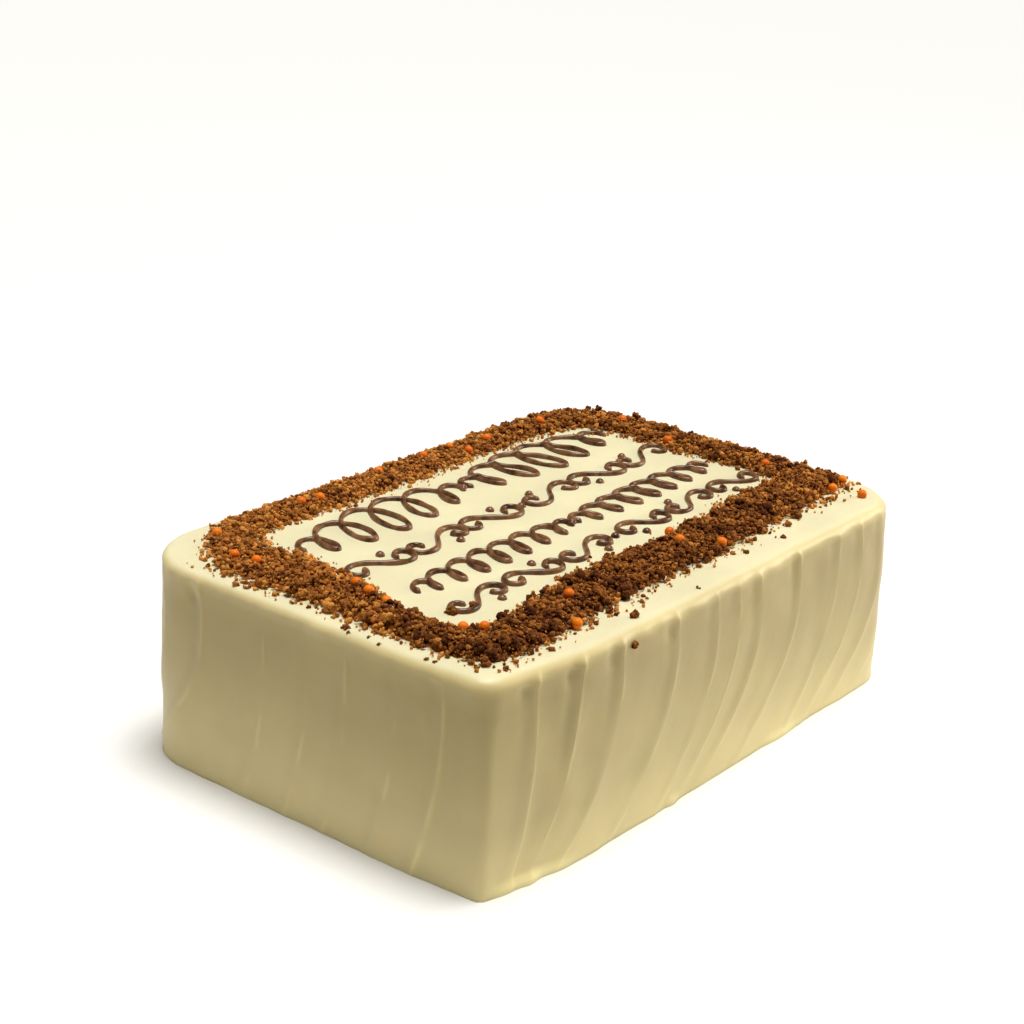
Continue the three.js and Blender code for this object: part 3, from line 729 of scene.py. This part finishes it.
def crumb_bed_surface():
    """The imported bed: the heap's arch drawn in from its edges, with waves on it, and a flat foot."""
    share = np.linspace(0, 1, BED_AROUND, endpoint=False)[None, :]
    t = np.linspace(0, 1, BED_ACROSS)[:, None]
    ragged = BED_RAGGED * np.stack([ripple(share[..., None], 0.007, seed) for seed in (30, 31)])
    across = mix(BED_SPAN[0] + ragged[0], BED_SPAN[1] + ragged[1], t)
    share = share + 0 * t
    places = border_place(share, across)
    rough = 0.7 * heap_bumps(places) + 0.5 * ripple(places, 2.4, 33, 14)
    full = BED_FILL * border_height(share, 0.5 + 0 * across)
    z = BED_FOOT + np.maximum(0.1, full * (1 - np.abs(2 * t - 1) ** 3) + rough * np.sin(np.pi * t))
    top = np.concatenate([places, z[..., None]], axis=-1)
    foot = np.concatenate([places[[-1, 0]], np.full((2, BED_AROUND, 1), BED_FOOT)], axis=-1)
    points = np.concatenate([top, foot])
    return points.reshape(-1, 3), grid_faces(BED_ACROSS + 2, BED_AROUND, wrap_rows=True)


def crumb_material():
    """Baked crumb: dark, middle and golden brown by each crumb's own tone, dry and finely pitted.

    Its colour darkens where the bump of its pits sinks: painted shade in the pits.
    """
    material, tree, shader = new_material(
        "baked_crumb",
        Roughness=0.9,
        Specular_IOR_Level=0.12,
        Subsurface_Weight=0.3,
        Subsurface_Radius=(1.0, 0.4, 0.12),
        Subsurface_Scale=0.0015,
    )
    place = node(tree, "ShaderNodeTexCoord").outputs["Object"]
    pits = noise(tree, place, Scale=800.0, Detail=4.0, Roughness=0.65)
    tone = node(tree, "ShaderNodeAttribute", attribute_name="tone").outputs["Fac"]
    # the colour follows the pits of the bump, darker where it sinks: painted shade in the pits
    shade = combined(tree, "ADD", ranged(tree, pits, 0.3, 0.7, 0.02, 0.48), tone)
    tree.links.new(colour_ramp(tree, shade, CRUMB_TONES), shader.inputs["Base Color"])
    tree.links.new(bump(tree, pits, 0.9, 0.0007), shader.inputs["Normal"])
    return material


bed_points, bed_quads = crumb_bed_surface()
# the bed is toned darker than the loose crumbs: painted shade in the gaps between them
bed_gap_shade = 0.1 + 0.12 * ripple(bed_points, 4, 34) + 0.3 * golden_share(bed_points)
crumb_bed = fill_mesh("crumb_bed", bed_points, bed_quads, tone=bed_gap_shade)
crumb_finish = crumb_material()
crumb_bed.data.materials.append(crumb_finish)
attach(crumb_bed, "root")
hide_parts("crumb_border")

# Sugar pearls. Small polished balls of orange sugar, all of nearly one size. They are pressed here and
# there into the crumbs, up to about their middle, and one has come to lie on the bare frosting.
PEARL_RADIUS = 2.5
PEARL_LIFT = 2.5
PEARL_FOOT = CAKE_HEIGHT + 0.3
STRAY_RISE = 0.6  # of its radius
PEARLS = {
    "front": [(-95, -92), (-76, -73), (13, -71), (28, -85), (24, -58), (137, -82), (152, -79)],
    "right": [(142, -38), (139, 22), (149, 60)],
    "back": [(112, 90), (68, 92), (47, 87), (44, 98), (23, 98), (-13, 97), (-63, 90), (-74, 92)],
    "left": [(-130, 92), (-144, 66), (-143, 53), (-133, 1)],
    "left_front": [(-137, -10), (-139, -22), (-134, -61), (-127, -67)],
}
STRAY_PEARL = (143, -96)
PEARL_TONES = [(0.35, (0.76, 0.14, 0.002)), (0.65, (0.88, 0.225, 0.003))]


def lump(rings, sectors):
    """A unit ball of triangles: a few rings of a few sectors with a point at each pole."""
    quads = grid_faces(rings, sectors)
    faces = [quads[:, [0, 1, 2]], quads[:, [0, 2, 3]], pole_caps(rings, sectors)]
    return ball_points(rings, sectors, 0.5), np.concatenate(faces)


def heap_under(places):
    """The heap's height at some places, from the nearest of many points spread all over it."""
    share, across = np.meshgrid(np.arange(300) / 300, np.arange(17) / 16)
    spread, height = border_place(share, across).reshape(-1, 2), border_height(share, across).reshape(-1)
    return height[np.linalg.norm(places[:, None] - spread, axis=-1).argmin(axis=1)]


def pearl_material():
    """Orange sugar with a polished glaze, its orange a little uneven from pearl to pearl."""
    material, tree, shader = new_material(
        "orange_sugar_pearl",
        Roughness=0.45,
        Specular_IOR_Level=0.2,
        Subsurface_Weight=0.15,
        Subsurface_Radius=(1.0, 0.3, 0.05),
        Subsurface_Scale=0.001,
    )
    place = node(tree, "ShaderNodeTexCoord").outputs["Object"]
    clouds = noise(tree, place, Scale=45.0, Detail=1.0)
    tree.links.new(colour_ramp(tree, clouds, PEARL_TONES), shader.inputs["Base Color"])
    return material


def pearls(name, middles, replaced):
    """Pearls of one piece: a finely ringed ball at each place, none quite the same size."""
    ball, faces = lump(rings=11, sectors=18)
    size = PEARL_RADIUS * mix(0.93, 1.05, chance(np.arange(len(middles)), 14))
    points = ball[None] * size[:, None, None] + middles[:, None, :]
    all_faces = faces[None] + (np.arange(len(middles)) * len(ball))[:, None, None]
    piece = fill_mesh(name, points.reshape(-1, 3), triangles=all_faces.reshape(-1, 3))
    piece.data.materials.append(pearl_finish)
    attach(piece, "root")
    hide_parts(replaced)


pearl_finish = pearl_material()
pearl_places = np.array([place for side in PEARLS.values() for place in side], dtype=float)
pearl_lift = np.maximum(PEARL_LIFT, heap_under(pearl_places))
pearls("border_pearls", np.column_stack([pearl_places, PEARL_FOOT + pearl_lift]), "crumb_border")
pearls("stray_pearl", np.array([[*STRAY_PEARL, CAKE_HEIGHT + STRAY_RISE * PEARL_RADIUS]]), "frosted_cake")

# Loose crumbs. Large dark lumps, clumps the size of a lentil to a pea, torn crumbs the size of rice
# grains, and fine golden crumbs that drift past the edges of the heap on to the bare frosting. They
# are broken off the same baked crumb by hand, and stick where they fall on the soft frosting.
# Each kind has its count, its radii and how many of them are small, how far it spills past the edges,
# how high it lies as a share of its radius, and its darkest and palest tone.
CLUMPS = {"count": 560, "radii": (1.4, 3.4), "small": 2.2, "spill": 0.04, "lift": 0.3, "tone": (0.08, 0.56)}
CHUNKS = {"count": 110, "radii": (3.0, 4.6), "small": 1.0, "spill": 0.0, "lift": 0.1, "tone": (-0.08, 0.32)}
TORN = {"count": 5500, "radii": (0.65, 1.6), "small": 1.5, "spill": 0.075, "lift": 0.3, "tone": (0.06, 0.66)}
FINE = {"count": 9500, "radii": (0.3, 0.8), "small": 1.3, "spill": 0.13, "lift": 0.6, "tone": (0.1, 0.62)}
LUMP_CORE, LUMP_OUT = 0.72, 0.62  # radius of a clump's core and where the rest sit, as shares of it
CLUMP_LUMPS = {"each": 13, "parts": (0.28, 0.5)}
CHUNK_LUMPS = {"each": 34, "parts": (0.18, 0.36)}
DARK_CLUMPS = {"share": 0.26, "less_where_golden": 0.1, "drop": 0.35}
BACK_SHRINK = {"share": 0.3, "from": 50.0, "run": 40.0}  # clumps are smaller past this y
CHUNK_BACK = 40.0  # the large lumps lie before this y
NEAR_PATCH = {"place": (-128.0, -78.0), "reach": 42.0, "dark": 0.14}
PATCHES = {"waves": (24, 36), "size": 0.14, "golden": 0.22, "edge": 0.18, "less": 0.12}
FINE_EDGE = 0.25  # how much paler fine crumbs are past the edges
CRUMB_SEED = 41
FLAT_STRAIGHT = (127.5, 70.5)
FLAT_CORNER = 36.5
STRAY_TONE = 0.2
STRAY_CRUMBS = [  # place and radius
    (-67, -102, 101.3, 2.4),
    (-78, -110.8, 93, 2),
    (-155, -86, 100, 1.7),
    (-148, -96, 99.9, 1.9),
    (-20, -104, 99.8, 1.5),
    (33, -96, 100.4, 1.5),
    (63, -98, 100.4, 1.5),
    (-157, 70, 100.2, 1.7),
    (-163, -21, 99.6, 2.2),
    (-164.5, -24, 98.8, 1.8),
    (-120, -43, 101, 2.8),
    (-108, -46, 101, 2.6),
    (-163.5, -34, 99.4, 1.4),
    (-164.5, -41, 98.9, 1.5),
    (-163, -66, 99.4, 1.5),
    (-162.5, -70, 99.5, 1.2),
    (-159, 5, 100, 1.4),
]


def turned(random, count):
    """Rotation matrices that turn each crumb its own way: a scattered axis frame for each."""
    first = random.normal(size=(count, 3))
    first /= np.linalg.norm(first, axis=1, keepdims=True)
    second = np.cross(first, random.normal(size=(count, 3)))
    second /= np.linalg.norm(second, axis=1, keepdims=True)
    return np.stack([first, second, np.cross(first, second)], axis=-1)


def crumbs(random, middles, radii, rings, sectors, ragged=0.36):
    """Torn crumbs: one small ball for each, squashed, turned, and every point pushed in or out."""
    ball, faces = lump(rings, sectors)
    count = len(middles)
    squash = random.uniform(0.65, 1.25, (count, 1, 3))
    push = 1 + random.uniform(-ragged, ragged, (count, len(ball), 1))
    shapes = np.einsum("nkj,nij->nki", ball * squash * push, turned(random, count))
    points = shapes * radii[:, None, None] + middles[:, None, :]
    all_faces = faces[None] + (np.arange(count) * len(ball))[:, None, None]
    return points.reshape(-1, 3), all_faces.reshape(-1, 3)


def clusters(random, middles, radii, each, parts):
    """The lumps that bigger crumbs are made of: a core, and smaller ones stuck on all round it.

    The smaller ones have the shares `parts` of the crumb's radius.
    """
    out = random.normal(size=(len(middles), each, 3))
    out *= LUMP_OUT / np.linalg.norm(out, axis=2, keepdims=True)
    part = random.uniform(*parts, (len(middles), each))
    out[:, 0], part[:, 0] = 0, LUMP_CORE
    lumps = middles[:, None] + out * radii[:, None, None]
    return lumps.reshape(-1, 3), (radii[:, None] * part).reshape(-1)


def heap_places(random, count, spill, lift):
    """Scattered places on the heap, even round it and out past both its edges, and how near an edge."""
    share = random.uniform(0, 1, count)
    ragged = 1 + 0.14 * ripple(share[:, None] * 1000, 16, 35) + 0.08 * ripple(share[:, None] * 1000, 5, 37)
    across = 0.5 + ragged * random.uniform(-0.5, 0.5, count) + spill * random.normal(size=count)
    places = border_place(share, across)
    arch = np.clip(1 - np.abs(2 * across - 1) ** 2.6, 0, 1) ** 0.7
    height = border_height(share, across) * random.uniform(0.7, 1.0, count) + 0.8 * arch * heap_bumps(places)
    edge = smooth((np.abs(2 * across - 1) - 0.65) / 0.4)
    return np.column_stack([places, BED_FOOT + np.maximum(0, height) + lift]), edge


def scattered(random, kind):
    """One kind's crumbs: their radii, places, nearness to an edge, and tones.

    The radii are even where `small` is 1, and above 1 it makes more of them small.
    """
    radii = mix(*kind["radii"], random.uniform(0, 1, kind["count"]) ** kind["small"])
    middles, edge = heap_places(random, kind["count"], kind["spill"], kind["lift"] * radii)
    return radii, middles, edge, random.uniform(*kind["tone"], kind["count"])


def settled(middles, radii, share):
    """Which crumbs lie inside the rolled rim, and clear of every pearl by that share of their radius.

    Inside means less than the corner's radius away from a rectangle that ends where the corners start.
    """
    past = np.linalg.norm(np.maximum(np.abs(middles[:, :2]) - FLAT_STRAIGHT, 0), axis=1)
    apart = np.linalg.norm(middles[:, None, :2] - pearl_places, axis=-1).min(axis=1)
    return (past + share * radii < FLAT_CORNER) & (apart > PEARL_RADIUS + share * radii)


def patch_tone(middles, edge):
    """Darker and more golden patches of the heap: slow waves, golden edges and a dark near corner."""
    away = np.linalg.norm(middles[:, :2] - NEAR_PATCH["place"], axis=1)
    patches = PATCHES["size"] * ripple(middles[:, :2], *PATCHES["waves"])
    patches -= NEAR_PATCH["dark"] * bell(away, NEAR_PATCH["reach"])
    return patches + PATCHES["golden"] * golden_share(middles) + PATCHES["edge"] * edge - PATCHES["less"]


def crumb_piece(name, points, faces, tone, replaced):
    """The finished piece of one kind of crumb, each with its own tone."""
    piece = fill_mesh(name, points, triangles=faces, tone=np.repeat(tone, len(points) // len(tone)))
    piece.data.materials.append(crumb_finish)
    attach(piece, "root")
    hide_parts(replaced)


random = np.random.default_rng(CRUMB_SEED)
clump_radii, clump_middles, edge, clump_tone = scattered(random, CLUMPS)
far_back = smooth((clump_middles[:, 1] - BACK_SHRINK["from"]) / BACK_SHRINK["run"])
clump_radii *= 1 - BACK_SHRINK["share"] * far_back
clump_tone += patch_tone(clump_middles, edge)
dark_share = DARK_CLUMPS["share"] - DARK_CLUMPS["less_where_golden"] * golden_share(clump_middles)
clump_tone[random.uniform(0, 1, CLUMPS["count"]) < dark_share] -= DARK_CLUMPS["drop"]
clear = settled(clump_middles, clump_radii, share=0.7)
lumps = [clusters(random, clump_middles[clear], clump_radii[clear], **CLUMP_LUMPS)]
lump_tone = np.repeat(clump_tone[clear], CLUMP_LUMPS["each"])
chunk_radii, chunk_middles, edge, chunk_tone = scattered(random, CHUNKS)
chunk_tone += patch_tone(chunk_middles, edge)
clear = settled(chunk_middles, chunk_radii, share=0.9) & (chunk_middles[:, 1] < CHUNK_BACK)
lumps.append(clusters(random, chunk_middles[clear], chunk_radii[clear], **CHUNK_LUMPS))
lump_tone = np.append(lump_tone, np.repeat(chunk_tone[clear], CHUNK_LUMPS["each"]))
middles, radii = (np.concatenate(both) for both in zip(*lumps))
points, faces = crumbs(random, middles, radii, rings=2, sectors=5)
lump_tone += random.uniform(-0.1, 0.1, len(radii))
crumb_piece("crumb_clumps", points, faces, lump_tone, "crumb_border")

radii, middles, edge, tone = scattered(random, TORN)
tone += patch_tone(middles, edge)
clear = settled(middles, radii, share=0.3)
points, faces = crumbs(random, middles[clear], radii[clear], rings=3, sectors=6)
crumb_piece("torn_crumbs", points, faces, tone[clear], "crumb_border")

radii, middles, edge, tone = scattered(random, FINE)
tone += FINE_EDGE * edge
clear = settled(middles, radii, share=0.3)
points, faces = crumbs(random, middles[clear], radii[clear], rings=2, sectors=5)
crumb_piece("fine_crumbs", points, faces, tone[clear], "crumb_border")

strays = np.array(STRAY_CRUMBS)
middles, radii = clusters(random, strays[:, :3], strays[:, 3], **CLUMP_LUMPS)
points, faces = crumbs(random, middles, radii, rings=3, sectors=7)
crumb_piece("stray_crumbs", points, faces, np.full(len(radii), STRAY_TONE), "frosted_cake")

# Studio. A pale seamless floor, one broad soft light overhead, a warm lamp low at the front right and a
# weak window at the back left, and a camera at the photo's own height and angle.
FLOOR_HALF = 6.0
CAMERA_PLACE = Vector((-0.743911, -0.556036, 0.449882))
CAMERA_YAW = math.radians(37.732)  # from +X towards +Y
CAMERA_PITCH = math.radians(20.49)  # below level
CAMERA_ROLL = math.radians(2.759)
CAMERA_LENS = 71.478
SUN_FROM = Vector((0.08, -0.06, 1.0))
SUN_WIDTH = math.radians(26)
SUN_STRENGTH = 3.9
SUN_COLOUR = (1.0, 0.99, 0.965)
LAMP_AIM = Vector((0, 0, 0.05))
LAMPS = {  # place, side, watts, colour
    "side_lamp": (Vector((1.3, -0.75, 0.45)), 0.5, 10.0, (1.0, 0.96, 0.84)),
    "left_window": (Vector((-0.75, 0.75, 0.35)), 0.5, 0.8, (1.0, 1.0, 1.0)),
}
SKY_STRENGTH, SKY_COLOUR = 0.05, (1.0, 0.99, 0.97, 1)
FLOOR_COLOUR = (0.82, 0.815, 0.80, 1)

corner = FLOOR_HALF / MM
square = np.array([[-corner, -corner, 0], [corner, -corner, 0], [corner, corner, 0], [-corner, corner, 0]])
floor = fill_mesh("floor", square, np.array([[0, 1, 2, 3]]))
floor_paint, _, _ = new_material("pale_floor", Base_Color=FLOOR_COLOUR, Roughness=0.7)
floor.data.materials.append(floor_paint)

world = bpy.data.worlds.new("studio")
world.use_nodes = True
world.node_tree.nodes["Background"].inputs["Color"].default_value = SKY_COLOUR
world.node_tree.nodes["Background"].inputs["Strength"].default_value = SKY_STRENGTH
bpy.context.scene.world = world

sun = bpy.data.lights.new("ceiling_panel", "SUN")
sun.energy, sun.angle, sun.color = SUN_STRENGTH, SUN_WIDTH, SUN_COLOUR
ceiling = bpy.data.objects.new("ceiling_panel", sun)
ceiling.rotation_euler = SUN_FROM.to_track_quat("Z", "Y").to_euler()
bpy.context.scene.collection.objects.link(ceiling)
for name, (place, side, watts, colour) in LAMPS.items():
    lamp = bpy.data.lights.new(name, "AREA")
    lamp.energy, lamp.size, lamp.color = watts, side, colour
    stand = bpy.data.objects.new(name, lamp)
    stand.location = place
    stand.rotation_euler = (place - LAMP_AIM).to_track_quat("Z", "Y").to_euler()
    bpy.context.scene.collection.objects.link(stand)

look = Vector(
    (
        math.cos(CAMERA_YAW) * math.cos(CAMERA_PITCH),
        math.sin(CAMERA_YAW) * math.cos(CAMERA_PITCH),
        -math.sin(CAMERA_PITCH),
    )
)
level = look.cross(Vector((0, 0, 1))).normalized()
upward = level.cross(look)
right = math.cos(CAMERA_ROLL) * level + math.sin(CAMERA_ROLL) * upward
up = math.cos(CAMERA_ROLL) * upward - math.sin(CAMERA_ROLL) * level
lens = bpy.data.cameras.new("photographer")
lens.lens = CAMERA_LENS
lens.clip_start = 0.05
camera = bpy.data.objects.new("photographer", lens)
camera.matrix_world = Matrix.Translation(CAMERA_PLACE) @ Matrix((right, up, -look)).transposed().to_4x4()
bpy.context.scene.collection.objects.link(camera)
bpy.context.scene.camera = camera
bpy.context.scene.view_settings.view_transform = "Standard"
